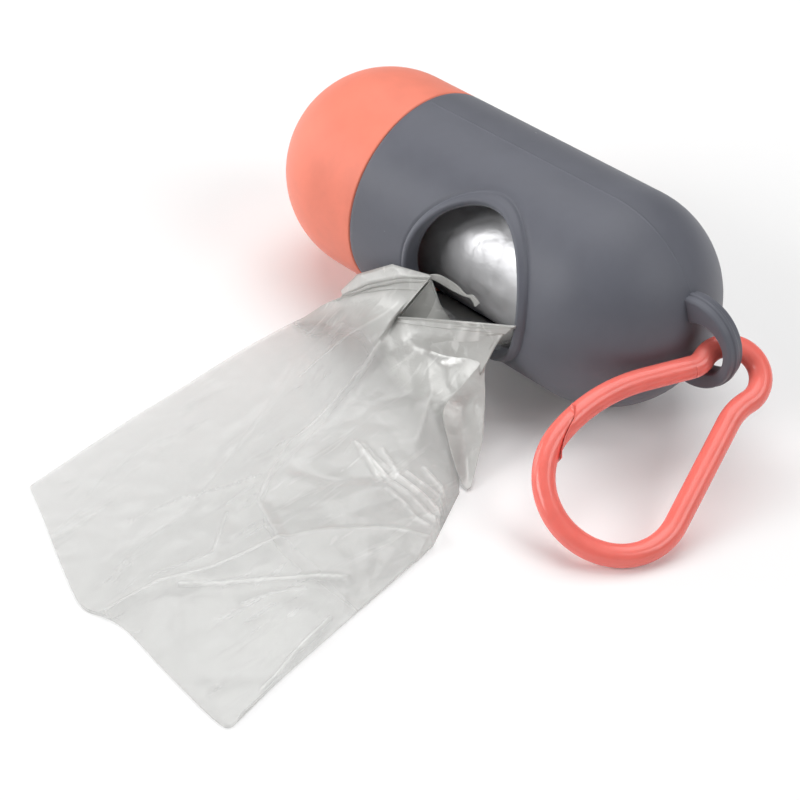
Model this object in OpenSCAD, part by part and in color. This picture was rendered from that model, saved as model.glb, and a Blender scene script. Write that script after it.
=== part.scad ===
// Pocket dispenser for a roll of waste bags: a silicone capsule with a
// dispensing window and a hanging lug, a plug-in end cap, the roll inside it,
// the first bag pulled out of the window, and a moulded snap clip.
// X runs along the capsule towards the lug, the window faces -Y, Z is up.

/* [Capsule] */
// Outside diameter of the body and the cap
body_d = 42; // [38:0.5:50]
// Length of the body's straight stretch, from the seam to the end dome
body_straight = 48; // [44:0.5:60]
// Wall thickness of the body
wall = 2.4; // [1.8:0.1:3]
// Radius that eases the two edges at the seam
seam_edge = 0.5; // [0.2:0.1:1]

/* [End cap] */
// Length of the cap's straight stretch, from the seam to its dome
cap_straight = 10.5; // [6:0.5:16]
// How far the cap's plug reaches into the body
plug_length = 8; // [6:0.5:12]
// Wall thickness of the plug
plug_wall = 1.75; // [1.4:0.05:2.2]
// Running clearance between the plug and the body, on the radius
plug_clear = 0.05; // [0.02:0.01:0.1]
// Height of the grip rings round the plug's inside
ring_height = 0.4; // [0.2:0.1:0.6]

/* [Dispensing window] */
// Distance from the seam to the middle of the window
window_x = 30.6; // [26:0.2:34]
// Height of the window's middle above the capsule's axis
window_rise = 2.4; // [0:0.2:3]
// Diameter of the opening
window_d = 27; // [22:0.5:28]
// Width of the raised rim round the opening
rim_width = 2.3; // [1.5:0.1:3]
// Height of the raised rim above the body
rim_height = 0.9; // [0.4:0.1:1.4]

/* [Lug] */
// Diameter of the lug disc on the tip of the end dome
lug_d = 18; // [16:0.5:22]
// Thickness of the lug
lug_thick = 3.8; // [3:0.1:4.2]
// Height of the lug's middle above the capsule's axis
lug_rise = 0.8; // [0:0.1:1.2]
// Diameter of the hole in the lug
hole_d = 10; // [9.6:0.1:10.8]
// Distance from the dome's tip to the middle of the hole
hole_out = 2.2; // [1.8:0.1:2.6]
// Width of the parting ridge round the lug's edge
ridge_width = 1; // [0.6:0.1:1.6]
// Height of the parting ridge
ridge_height = 0.3; // [0.1:0.1:0.4]

/* [Bag roll] */
// Outside diameter of the wound film
roll_d = 28.6; // [24:0.2:29.4]
// Width of the folded film, which is the length of the roll
roll_length = 57; // [54:0.5:60]
// Outside diameter of the paper core
core_d = 16; // [14:0.5:18]
// Wall thickness of the paper core
core_wall = 1; // [0.6:0.1:1.5]
// Clearance between the lying roll and what carries it
roll_clear = 0.3; // [0.2:0.05:0.5]
// Number of grooves between the turns that show on each end of the roll
turn_count = 3; // [2:1:4]
// Width and depth of those grooves
turn_groove = 0.35; // [0.2:0.05:0.5]

/* [Pulled-out bag] */
// Thickness of the folded film with the air between its layers
bag_thick = 0.9; // [0.6:0.1:1.2]
// Clearance between the film and the window's edge
bag_clear = 0.4; // [0.3:0.1:0.8]
// Distance from the capsule's axis to the corner of the bag's end
bag_reach = 108; // [95:1:120]
// Depth of the film's trough in the window
bag_sag = 6.5; // [5:0.5:8]

/* [Clip] */
// Diameter of the clip's rod
rod_d = 4.2; // [3.6:0.1:4.4]
// Bend radius of the small eye that goes through the lug
eye_r = 5.6; // [5.5:0.1:6.4]
// Bend radius of the neck beside the fixed arm
neck_r = 11; // [8:0.5:14]
// Bend radius of the neck beside the gate
gate_neck_r = 4; // [3.6:0.1:5]
// Bend radius of the large loop's tight corner
corner_r = 11.5; // [9:0.5:14]
// Bend radius of the large loop
loop_r = 13; // [12:0.5:15]
// Bend radius of the gate arm
gate_r = 32; // [28:0.5:38]
// Clearance across the joint between the gate's end and the frame
gate_clear = 0.1; // [0.05:0.05:0.2]
// Turn of the clip about the vertical, from the capsule's axis
clip_turn = 62; // [60:1:64]
// Slope of the clip, which leans from the lug to the floor
clip_tilt = 35; // [34:0.5:36]

/* [Hidden] */
$fn = 72;

silicone_grey = [0.33, 0.34, 0.37];
coral = [0.98, 0.42, 0.34];
card = [0.72, 0.66, 0.56];
film_grey = [0.74, 0.75, 0.75];

body_r = body_d / 2;
inner_r = body_r - wall;
tip_x = body_straight + body_r;      // tip of the end dome
cap_tip_x = -cap_straight - body_r;  // tip of the cap
plug_r = inner_r - plug_clear;
plug_bore_r = plug_r - plug_wall;
window_r = window_d / 2;
rim_r = window_r + rim_width;
through = body_d;                    // longer than any cut needs

// The roll lies on the plug at one end and against the dome at the other.
roll_r = roll_d / 2;
roll_drop = plug_bore_r - ring_height - roll_clear - roll_r;
roll_low = roll_drop + roll_r + roll_clear;
roll_end_x = body_straight + sqrt(inner_r * inner_r - roll_low * roll_low);
roll_start_x = roll_end_x - roll_length;

// --- clip route, in the clip's own plane: x across, y up its slope ---------
hang = [tip_x + 4.5, 0, -0.5];  // where the clip's plane passes the lug
start = [-4.9, -1.2, 4];        // gate's root: x, y and heading in degrees
gate_neck_turn = 41;
eye_turn = -206;
neck_turn = 29;
corner_turn = -55;
loop_turn = -134;
gate_turn = -360 - gate_neck_turn - eye_turn - neck_turn - corner_turn - loop_turn;

// A run of rod is [bend radius, degrees] or, for a straight, [0, length].
// A pose is [x, y, heading]; a positive bend turns left.
function run_end(p, r) =
    r[0] == 0
    ? [p[0] + r[1] * cos(p[2]), p[1] + r[1] * sin(p[2]), p[2]]
    : let (side = sign(r[1]), b = p[2] + r[1])
      [p[0] + side * r[0] * (sin(b) - sin(p[2])),
       p[1] - side * r[0] * (cos(b) - cos(p[2])), b];
function poses(p, runs, i = 0) =
    i == len(runs) ? [p] : concat([p], poses(run_end(p, runs[i]), runs, i + 1));
function last(list) = list[len(list) - 1];

eye_runs = [[gate_neck_r, gate_neck_turn], [eye_r, eye_turn], [neck_r, neck_turn]];
bend_runs = [[corner_r, corner_turn], [loop_r, loop_turn], [gate_r, gate_turn]];

// The two straight lengths are the ones that close the loop.
arm_heading = start[2] + gate_neck_turn + eye_turn + neck_turn;
open_end = last(poses(start, concat(eye_runs, bend_runs)));
gap = [start[0] - open_end[0], start[1] - open_end[1]];
closing = cos(arm_heading) * sin(start[2]) - sin(arm_heading) * cos(start[2]);
arm_length = (gap[0] * sin(start[2]) - gap[1] * cos(start[2])) / closing;
gate_length = (gap[1] * cos(arm_heading) - gap[0] * sin(arm_heading)) / closing;

frame_runs = concat(eye_runs, [[0, arm_length]], [bend_runs[0], bend_runs[1]]);
gate_runs = [bend_runs[2], [0, gate_length]];
joint = last(poses(start, frame_runs));  // where the loop meets the gate arm

// Where runs join, one laps over the other so that the rod is a single solid.
lap = 0.05;
lap_proud = 0.02;
function lap_turn(r) = sign(r[1]) * 360 * lap / (2 * PI * r[0]);
function lengthened(r) =
    r[0] == 0 ? [0, r[1] + 2 * lap] : [r[0], r[1] + 2 * lap_turn(r)];
function stepped_back(p, r) =
    r[0] == 0
    ? run_end(p, [0, -lap])
    : let (q = run_end([p[0], p[1], p[2] + 180], [r[0], -lap_turn(r)]))
      [q[0], q[1], q[2] - 180];

// The scarf between frame and gate: [along the rod, outwards] from the joint.
scarf_tip = [5.2, 2.8];
scarf_step = [3.6, 0];
scarf_heel = [-5.5, -3.6];
scarf_in = 30;     // bend of the loop, in degrees, that the scarf may reach
scarf_out = 16;    // bend of the gate arm, in degrees, that it may reach
scarf_reach = 11;  // how far each half is cleared along the rod

// --- shape of the pulled-out bag --------------------------------------------
// The bag leaves the roll as a trough in the window's lower half and then hangs
// over the rim down to the surface. Each row has six points, left to right: the
// edge, the shoulder, the fold below it, the middle, the right fold and the flap.
// A point gives shares of the way along the roll, from the rim to the bag's far
// corner, and from the surface up to the capsule's axis, all in hundredths.
trough_r = window_r - bag_clear - bag_thick;
trough_half = sqrt(trough_r * trough_r - window_rise * window_rise);
bag_rows = [
    trough(roll_r + 0.5),
    trough(body_r + rim_height + 0.6),
    laid([[16, 2.5, 81], [30, 3, 101.5], [35, 5.5, 66.5],
          [54.5, 4, 76], [76, 2, 98], [77, 2.5, 90.5]]),
    laid([[3.5, 3.5, 50], [17.5, 6, 68.5], [32.5, 8, 56],
          [54.5, 9, 64], [74.5, 5, 76], [76.5, 6, 62]]),
    laid([[-6, 6, 19], [8, 9.5, 40], [31.5, 13.5, 42],
          [54.5, 14.5, 45.5], [73, 9.5, 47.5], [80.5, 11, 27.5]]),
    laid([[-12.5, 10.5, 0], [2.5, 16.5, 14.5], [31.5, 23.5, 25.5],
          [52.5, 24.5, 30.5], [78, 17, 19], [90.5, 20.5, 0]]),
    laid([[-11.5, 24.5, 0], [3.5, 31.5, 4], [34, 39.5, 9.5],
          [56, 41, 12.5], [80.5, 32.5, 9.5], [94.5, 30.5, 0]]),
    laid([[-11, 39.5, 0], [6, 46.5, 2], [37, 56, 5.5],
          [59.5, 58, 7.5], [86, 49, 7.5], [102, 41, 0]]),
    laid([[-9, 56, 0], [10.5, 63, 2], [44, 72, 5],
          [66.5, 73.5, 5.5], [91, 66.5, 5.5], [106, 60.5, 0]]),
    laid([[-7, 72, 0], [16, 79, 2], [51, 87, 3.5],
          [73.5, 88.5, 4], [94.5, 85, 3.5], [110.5, 80.5, 0]]),
    laid([[-5.5, 87, 0], [19.5, 93.5, 0], [54.5, 99.5, 0],
          [75.5, 100, 0], [96.5, 100, 0], [115, 100, 0]])
];
bag_columns = 15;  // faces across the bag
bag_between = 2;   // faces from one row to the next

function trough(y) =
    [for (s = [-1:0.4:1])
        [window_x + trough_half * s, -y, -bag_sag * (1 - s * s)]];
function laid(row) =
    let (rim_y = body_r + rim_height)
    [for (p = row) [roll_length * p[0] / 100,
                    -rim_y - (bag_reach - rim_y) * p[1] / 100,
                    body_r * (p[2] / 100 - 1)]];

// A smooth curve through a list of points or of rows, at t from 0 to 1.
function smooth(list, t) =
    let (n = len(list) - 1, i = min(floor(t * n), n - 1), f = t * n - i,
         a = list[max(i - 1, 0)], b = list[i], c = list[i + 1], d = list[min(i + 2, n)])
    (2 * b + (c - a) * f + (2 * a - 5 * b + 4 * c - d) * f * f
     + (3 * b - a - 3 * c + d) * f * f * f) / 2;
bag_strips = bag_between * (len(bag_rows) - 1);
bag_points = [for (i = [0:bag_strips])
                 let (row = smooth(bag_rows, i / bag_strips))
                 [for (j = [0:bag_columns])
                     let (p = smooth(row, j / bag_columns))
                     [p[0], p[1], max(p[2], -body_r)]]];

// --- where the whole object stands -----------------------------------------
function sampled(p, r, n = 12) =
    [for (i = [0:n]) run_end(p, [r[0], r[1] * i / n])];
loop_runs = concat(frame_runs, gate_runs);
loop_poses = poses(start, loop_runs);
loop_points = [for (i = [0:len(loop_runs) - 1]) each sampled(loop_poses[i], loop_runs[i])];
function in_part(p) =
    hang + [cos(clip_turn) * p[0] - sin(clip_turn) * cos(clip_tilt) * p[1],
            sin(clip_turn) * p[0] + cos(clip_turn) * cos(clip_tilt) * p[1],
            sin(clip_tilt) * p[1]];
reach_x = max([for (p = loop_points) in_part(p)[0]]) + rod_d / 2;
bag_end_y = min([for (row = bag_points, p = row) p[1]]);
centre = [(cap_tip_x + reach_x) / 2, (bag_end_y + body_r) / 2, -body_r];

// --- shared shapes -----------------------------------------------------------
module stand() {
    translate(-centre) children();
}

module along_x() {
    rotate([0, 90, 0]) children();
}

module along_y(x, z) {
    translate([x, 0, z]) rotate([90, 0, 0]) children();
}

// Half of a capsule's end, from x = 0 to the tip of its dome.
module half_capsule(r, straight) {
    along_x() cylinder(r = r, h = straight);
    translate([straight, 0, 0])
        along_x() rotate_extrude() intersection() {
            circle(r);
            square(r);
        }
}

// One run of the clip's rod, from its pose.
module rod_run(p, r, d) {
    if (r[0] == 0)
        translate([p[0], p[1], 0]) rotate([0, 0, p[2]]) along_x()
            cylinder(d = d, h = r[1]);
    else {
        side = sign(r[1]);
        middle = [p[0] - side * r[0] * sin(p[2]), p[1] + side * r[0] * cos(p[2]), 0];
        from = side > 0 ? p[2] - 90 : p[2] + r[1] + 90;
        translate(middle) rotate([0, 0, from])
            rotate_extrude(angle = abs(r[1])) translate([r[0], 0]) circle(d = d);
    }
}

// Every second run is a trace thicker and laps over its neighbours' ends.
module rod(p, runs, first = 0) {
    at = poses(p, runs);
    for (i = [0:len(runs) - 1])
        if ((first + i) % 2 == 0) rod_run(at[i], runs[i], rod_d);
        else rod_run(stepped_back(at[i], runs[i]), lengthened(runs[i]), rod_d + lap_proud);
}

// One side of the scarf: the frame's lies towards -x, the gate's towards +x.
module scarf_side(x, clear = 0) {
    deep = rod_d * 1.4;
    translate([joint[0], joint[1], 0]) rotate([0, 0, joint[2]])
        translate([clear * 0.6, -clear * 0.8, -rod_d])
            linear_extrude(2 * rod_d)
                polygon([scarf_tip, scarf_step, scarf_heel, [scarf_heel[0], -deep],
                         [x, -deep], [x, deep], [scarf_tip[0] + 2, deep]]);
}

module hang_clip() {
    stand() translate(hang) rotate([clip_tilt, 0, clip_turn]) children();
}

// --- sub-parts ---------------------------------------------------------------
module body_shell() color(silicone_grey) stand() {
    difference() {
        union() {
            half_capsule(body_r, body_straight);
            window_rim();
            lug();
        }
        half_capsule(inner_r, body_straight);
        along_x() translate([0, 0, -1]) cylinder(r = inner_r, h = 2);
        along_y(window_x, window_rise) cylinder(r = window_r, h = through);
        mouth_edge();
    }
}

module window_rim() {
    intersection() {
        along_y(window_x, window_rise) cylinder(r = rim_r, h = through);
        translate([window_x - rim_r - 1, 0, 0]) along_x()
            cylinder(r = body_r + rim_height, h = 2 * rim_r + 2);
    }
}

// The lug is a disc on the dome's tip; its hole stops at the dome's skin.
module lug() {
    difference() {
        union() {
            along_y(tip_x, lug_rise)
                cylinder(d = lug_d, h = lug_thick, center = true);
            along_y(tip_x, lug_rise)
                cylinder(r = lug_d / 2 + ridge_height, h = ridge_width, center = true);
        }
        along_y(tip_x + hole_out, lug_rise)
            cylinder(d = hole_d, h = 2 * lug_thick, center = true);
        translate([body_straight, 0, 0]) sphere(r = inner_r + wall / 2);
    }
    intersection() {
        translate([body_straight, 0, 0]) sphere(r = body_r);
        along_y(tip_x, lug_rise) cylinder(d = lug_d, h = lug_thick, center = true);
    }
}

// Takes the sharp corner off the body's edge at the seam.
module mouth_edge() {
    along_x() rotate_extrude() difference() {
        translate([body_r - seam_edge, -1]) square([seam_edge + 1, seam_edge + 1]);
        translate([body_r - seam_edge, seam_edge]) circle(seam_edge);
    }
}

module end_cap() color(coral) stand() {
    difference() {
        union() {
            mirror([1, 0, 0]) half_capsule(body_r, cap_straight);
            along_x() cylinder(r = plug_r, h = plug_length);
        }
        mirror([1, 0, 0]) half_capsule(plug_bore_r, cap_straight);
        along_x() translate([0, 0, -1]) cylinder(r = plug_bore_r, h = plug_length + 2);
        mirror([1, 0, 0]) mouth_edge();
    }
    for (x = [1, plug_length - 1.5])
        translate([x, 0, 0]) along_x() grip_ring();
}

module grip_ring() {
    difference() {
        cylinder(r = plug_bore_r + plug_wall / 2, h = 0.8);
        translate([0, 0, -1]) cylinder(r = plug_bore_r - ring_height, h = 3);
    }
}

module roll_core() color(card) stand()
    translate([roll_start_x, 0, -roll_drop]) along_x()
        rotate_extrude()
            translate([core_d / 2 - core_wall, 0]) square([core_wall, roll_length]);

module roll_film() color(film_grey) stand()
    translate([roll_start_x, 0, -roll_drop]) along_x()
        rotate_extrude() difference() {
            translate([core_d / 2, 0]) square([roll_r - core_d / 2, roll_length]);
            for (i = [1:turn_count], y = [0, roll_length])
                translate([core_d / 2 + (roll_r - core_d / 2) * i / (turn_count + 1), y])
                    rotate(45) square(turn_groove, center = true);
        }

module pulled_bag() color(film_grey) stand() bag_sheet();

// A closed sheet: upper points, then lower points, row by row.
module bag_sheet() {
    cols = bag_columns + 1;
    lower = [for (row = bag_points) each row];
    upper = [for (p = lower) p + [0, 0, bag_thick]];
    below = len(upper);
    function at(i, j) = i * cols + j;
    polyhedron(
        points = concat(upper, lower),
        faces = concat(
            [for (i = [0:bag_strips - 1], j = [0:bag_columns - 1])
                each quad(at(i, j), at(i, j + 1), at(i + 1, j + 1), at(i + 1, j))],
            [for (i = [0:bag_strips - 1], j = [0:bag_columns - 1])
                each quad(below + at(i + 1, j), below + at(i + 1, j + 1),
                          below + at(i, j + 1), below + at(i, j))],
            [for (i = [0:bag_strips - 1], j = [0, bag_columns])
                let (a = at(i, j), b = at(i + 1, j))
                each j == 0 ? quad(a, b, below + b, below + a)
                            : quad(b, a, below + a, below + b)],
            [for (j = [0:bag_columns - 1], i = [0, bag_strips])
                let (a = at(i, j), b = at(i, j + 1))
                each i == 0 ? quad(b, a, below + a, below + b)
                            : quad(a, b, below + b, below + a)]));
}

function quad(a, b, c, d) = [[a, b, c], [a, c, d]];

module clip_frame() color(coral) hang_clip() {
    difference() {
        rod(start, concat(frame_runs, [[gate_r, -scarf_out]]));
        scarf_side(scarf_reach);
        translate([start[0], start[1], 0]) sphere(r = rod_d / 2 + gate_clear);
    }
}

module clip_gate() color(coral) hang_clip() {
    loop_start = loop_poses[len(frame_runs) - 1];
    before = run_end(loop_start, [loop_r, loop_turn + scarf_in]);
    difference() {
        rod(before, concat([[loop_r, -scarf_in]], gate_runs), len(frame_runs) - 1);
        scarf_side(-scarf_reach, gate_clear);
    }
    translate([start[0], start[1], 0]) sphere(d = rod_d);
}

body_shell();
end_cap();
roll_core();
roll_film();
pulled_bag();
clip_frame();
clip_gate();
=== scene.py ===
"""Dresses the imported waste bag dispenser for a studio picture.

Lengths are millimetres from the seam's centre on the capsule's axis, with X towards the lug,
the window facing -Y and Z up; place() turns them into metres in the row frame.
"""

import math

import bmesh
import bpy
import numpy as np
from bpy.props import FloatProperty, FloatVectorProperty, IntProperty, PointerProperty
from mathutils import Matrix, Vector, noise


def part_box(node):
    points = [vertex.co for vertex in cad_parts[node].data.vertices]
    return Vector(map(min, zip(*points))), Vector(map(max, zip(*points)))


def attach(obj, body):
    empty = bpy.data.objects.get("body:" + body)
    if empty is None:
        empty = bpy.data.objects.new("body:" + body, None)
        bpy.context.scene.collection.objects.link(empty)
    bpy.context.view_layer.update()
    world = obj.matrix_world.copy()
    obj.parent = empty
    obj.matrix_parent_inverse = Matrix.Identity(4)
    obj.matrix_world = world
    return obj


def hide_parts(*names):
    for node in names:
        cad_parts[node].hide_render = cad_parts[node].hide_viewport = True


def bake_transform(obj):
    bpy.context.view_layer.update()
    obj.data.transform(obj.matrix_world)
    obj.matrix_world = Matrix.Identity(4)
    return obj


bl_info = {
    "name": "Waste bag dispenser",
    "version": (1, 0, 0),
    "blender": (4, 5, 0),
    "location": "3D View > Sidebar > Dispenser",
    "description": "Builds the dressed pieces of a capsule dispenser for waste bags",
    "category": "Add Mesh",
}

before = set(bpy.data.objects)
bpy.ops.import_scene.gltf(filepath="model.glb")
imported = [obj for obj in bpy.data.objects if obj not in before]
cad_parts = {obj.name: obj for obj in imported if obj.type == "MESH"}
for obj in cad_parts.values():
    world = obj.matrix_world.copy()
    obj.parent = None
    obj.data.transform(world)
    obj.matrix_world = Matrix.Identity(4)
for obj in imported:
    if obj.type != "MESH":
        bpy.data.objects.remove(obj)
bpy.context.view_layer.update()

MM = 0.001
BODY_R = 21.0
_low, _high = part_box("body_shell")
SEAM = np.array([_low.x, _high.y - BODY_R * MM, _low.z + BODY_R * MM])


def place(points):
    """Millimetres from the seam's centre to metres in the row frame."""
    return np.asarray(points, float) * MM + SEAM


def srgb(code):
    """An sRGB hex colour as linear RGBA."""
    parts = [int(code[i:i + 2], 16) / 255 for i in (1, 3, 5)]
    lin = [c / 12.92 if c <= 0.04045 else ((c + 0.055) / 1.055) ** 2.4 for c in parts]
    return (*lin, 1.0)


# ---- Sizes and colours that a user may change ----
def length(name, text, default, low, high):
    return FloatProperty(name=name, description=text, default=default, min=low, max=high,
                         unit="LENGTH", subtype="DISTANCE")


def tint(name, text, code):
    return FloatVectorProperty(name=name, description=text, default=srgb(code), size=4,
                               min=0.0, max=1.0, subtype="COLOR")


class DispenserCapsule(bpy.types.PropertyGroup):
    bead_height: length("Rim height", "Height of the rim round the window", 0.0011, 0.0003, 0.002)
    bead_width: length("Rim width", "Width of the rim round the window", 0.0017, 0.001, 0.004)
    shell_colour: tint("Body colour", "Grey of the moulded silicone body", "#64666f")
    cap_colour: tint("Cap colour", "Coral of the moulded silicone cap", "#f98b73")


class DispenserClip(bpy.types.PropertyGroup):
    rod: length("Rod", "Diameter of the clip's rod", 0.0042, 0.003, 0.006)
    sides: IntProperty(name="Sides", description="Faces round the rod", default=28,
                       min=8, max=64)
    colour: tint("Clip colour", "Coral of the glossy clip", "#ff7d72")


class DispenserFilm(bpy.types.PropertyGroup):
    columns: IntProperty(name="Columns", description="Faces across the bag", default=156,
                         min=24, max=240)
    rows: IntProperty(name="Rows", description="Faces along the bag", default=220,
                      min=24, max=320)
    wrinkle: length("Wrinkles", "Height of the film's fine wrinkles", 0.00035, 0.0, 0.001)
    colour: tint("Film colour", "Grey of the thin film", "#d2d2cf")


# ---- Nodes and meshes ----
def add_node(tree, kind, settings=None, values=None):
    """Adds one node. settings are its properties; values are numbers or output sockets."""
    node = tree.nodes.new(kind)
    for key, value in (settings or {}).items():
        setattr(node, key, value)
    for key, value in (values or {}).items():
        if isinstance(value, bpy.types.NodeSocket):
            tree.links.new(value, node.inputs[key])
        else:
            node.inputs[key].default_value = value
    return node


def new_material(name):
    """An empty node material with its output node."""
    mat = bpy.data.materials.new(name)
    mat.use_nodes = True
    mat.node_tree.nodes.clear()
    return mat, mat.node_tree, add_node(mat.node_tree, "ShaderNodeOutputMaterial")


def object_coordinates(tree):
    return add_node(tree, "ShaderNodeTexCoord").outputs["Object"]


def new_piece(name, points, faces, material, body, values=None):
    """A smooth mesh object at the origin, from points in millimetres, riding on a body if named.

    values holds a number for each point under an attribute's name.
    """
    mesh = bpy.data.meshes.new(name)
    mesh.from_pydata(place(points).tolist(), [], [list(f) for f in faces])
    mesh.validate()
    skin = bmesh.new()
    skin.from_mesh(mesh)
    bmesh.ops.recalc_face_normals(skin, faces=skin.faces)
    skin.to_mesh(mesh)
    skin.free()
    mesh.polygons.foreach_set("use_smooth", [True] * len(mesh.polygons))
    for key, numbers in (values or {}).items():
        mesh.attributes.new(key, "FLOAT", "POINT").data.foreach_set(
            "value", np.asarray(numbers, np.float32))
    mesh.materials.append(material)
    mesh.update()
    obj = bpy.data.objects.new(name, mesh)
    bpy.context.scene.collection.objects.link(obj)
    if body:
        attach(obj, body)
    return obj


def strip_faces(first, second, flip=False):
    """Quads between two closed rows of point numbers."""
    n = len(first)
    out = []
    for i in range(n):
        j = (i + 1) % n
        quad = (first[i], first[j], second[j], second[i])
        out.append(quad[::-1] if flip else quad)
    return out


def lathe(profile, steps):
    """Points and faces of a closed profile of (x, radius) turned about the X axis."""
    pts, faces, rows = [], [], []
    for x, r in profile:
        if r < 1e-6:
            rows.append([len(pts)] * steps)
            pts.append((x, 0.0, 0.0))
            continue
        rows.append(list(range(len(pts), len(pts) + steps)))
        for k in range(steps):
            a = 2 * math.pi * k / steps
            pts.append((x, -r * math.cos(a), r * math.sin(a)))
    for a, b in zip(rows, rows[1:]):
        for k in range(steps):
            j = (k + 1) % steps
            face = (a[k], b[k], b[j], a[j])
            kept = [v for i, v in enumerate(face) if v not in face[:i]]
            if len(kept) > 2:
                faces.append(kept)
    return pts, faces


# ---- Materials ----
def noise_node(tree, where, scale, detail, **more):
    """Cloudy noise; a scale of 100 gives marks about 10 mm apart."""
    return add_node(tree, "ShaderNodeTexNoise",
                    values={"Vector": where, "Scale": scale, "Detail": detail, **more})


def ranged(tree, value, low, high, to_low, to_high):
    """A value between low and high turned into one between to_low and to_high."""
    return add_node(tree, "ShaderNodeMapRange",
                    values={"Value": value, "From Min": low, "From Max": high,
                            "To Min": to_low, "To Max": to_high}).outputs[0]


def sum_node(tree, operation, *values, clamp=False):
    """One arithmetic step on numbers or sockets."""
    return add_node(tree, "ShaderNodeMath", {"operation": operation, "use_clamp": clamp},
                    dict(enumerate(values))).outputs[0]


def blended_colour(tree, share, first, second):
    return add_node(tree, "ShaderNodeMix", {"data_type": "RGBA"},
                    {0: share, 6: first, 7: second}).outputs[2]


def shaded_colour(tree, colour, shade):
    return add_node(tree, "ShaderNodeVectorMath", {"operation": "SCALE"},
                    {0: colour[:3], "Scale": shade}).outputs[0]


def bumped(tree, strength, distance, height):
    """A normal for a relief whose distance is in metres."""
    return add_node(tree, "ShaderNodeBump", values={"Strength": strength, "Distance": distance,
                                                    "Height": height}).outputs[0]


def surface(tree, out, values):
    """The Principled surface that ends a material."""
    skin = add_node(tree, "ShaderNodeBsdfPrincipled", values=values)
    tree.links.new(skin.outputs[0], out.inputs[0])


def silicone(name, colour, rough, dust):
    """Moulded silicone rubber, IOR 1.41: a matte skin with a faint bloom and dust on it."""
    mat, tree, out = new_material(name)
    where = object_coordinates(tree)
    # Cloudy bloom, about 9 mm across, as handled silicone shows.
    cloud = noise_node(tree, where, 110.0, 4.0, Roughness=0.6).outputs["Fac"]
    # Specks of lint, 0.15 to 0.3 mm, a few to the square centimetre.
    grit = add_node(tree, "ShaderNodeTexVoronoi", {"feature": "F1"},
                    {"Vector": where, "Scale": 260.0, "Randomness": 1.0})
    speck = ranged(tree, grit.outputs["Distance"], 0.02, 0.06, 1.0, 0.0)
    parts = add_node(tree, "ShaderNodeSeparateColor", values={"Color": grit.outputs["Color"]})
    rare = ranged(tree, parts.outputs[0], 0.86, 0.88, 0.0, 1.0)
    lint = sum_node(tree, "MULTIPLY", sum_node(tree, "MULTIPLY", speck, rare), dust)
    base = shaded_colour(tree, colour, ranged(tree, cloud, 0.3, 0.7, 0.94, 1.05))
    # The mould's spark-eroded texture: grains of about 0.2 mm on waves of about 2.4 mm.
    grain = noise_node(tree, where, 5200.0, 2.0).outputs["Fac"]
    wave = noise_node(tree, where, 420.0, 2.0).outputs["Fac"]
    relief = sum_node(tree, "MULTIPLY_ADD", wave, 2.5, grain)
    surface(tree, out, {"Base Color": blended_colour(tree, lint, base, srgb("#c9cad0")),
                        "Roughness": ranged(tree, cloud, 0.3, 0.7, rough - 0.05, rough + 0.05),
                        "IOR": 1.41, "Normal": bumped(tree, 0.12, 0.00008, relief),
                        "Sheen Weight": 0.12, "Sheen Roughness": 0.5})
    return mat


def acetal(name, colour):
    """Injection-moulded acetal, IOR 1.48: smooth and glossy, with soft flow marks."""
    mat, tree, out = new_material(name)
    flow = noise_node(tree, object_coordinates(tree), 260.0, 3.0).outputs["Fac"]
    shade = ranged(tree, flow, 0.3, 0.7, 0.95, 1.04)
    surface(tree, out, {"Base Color": shaded_colour(tree, colour, shade),
                        "Roughness": ranged(tree, flow, 0.3, 0.7, 0.18, 0.27),
                        "IOR": 1.48, "Normal": bumped(tree, 0.08, 0.0001, flow),
                        "Subsurface Weight": 0.15, "Subsurface Radius": (1.0, 0.35, 0.25),
                        "Subsurface Scale": 0.0015})
    return mat


def crinkles(tree, where):
    """Height of the film's crinkles, 1 to 7 mm across, flat between sharp ridges."""
    soft = noise_node(tree, where, 150.0, 4.0, Roughness=0.6, Distortion=0.4).outputs["Fac"]
    cells = add_node(tree, "ShaderNodeTexVoronoi", {"feature": "DISTANCE_TO_EDGE"},
                     {"Vector": where, "Scale": 150.0})
    ridge = ranged(tree, cells.outputs["Distance"], 0.0, 0.45, 0.45, 0.0)
    return sum_node(tree, "ADD", ridge, soft)


def wound_polythene(name, colour):
    """The roll's outer turns, IOR 1.51: many layers of film with silver flake, slick."""
    mat, tree, out = new_material(name)
    where = object_coordinates(tree)
    # Bands of the winding, about 5 mm across, lighter and darker.
    bands = noise_node(tree, where, 190.0, 2.0).outputs["Fac"]
    shade = ranged(tree, bands, 0.3, 0.7, 0.9, 1.08)
    surface(tree, out, {"Base Color": shaded_colour(tree, colour, shade),
                        "Roughness": 0.42, "IOR": 1.51, "Metallic": 0.55,
                        "Normal": bumped(tree, 0.4, 0.0004, crinkles(tree, where))})
    return mat


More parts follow.
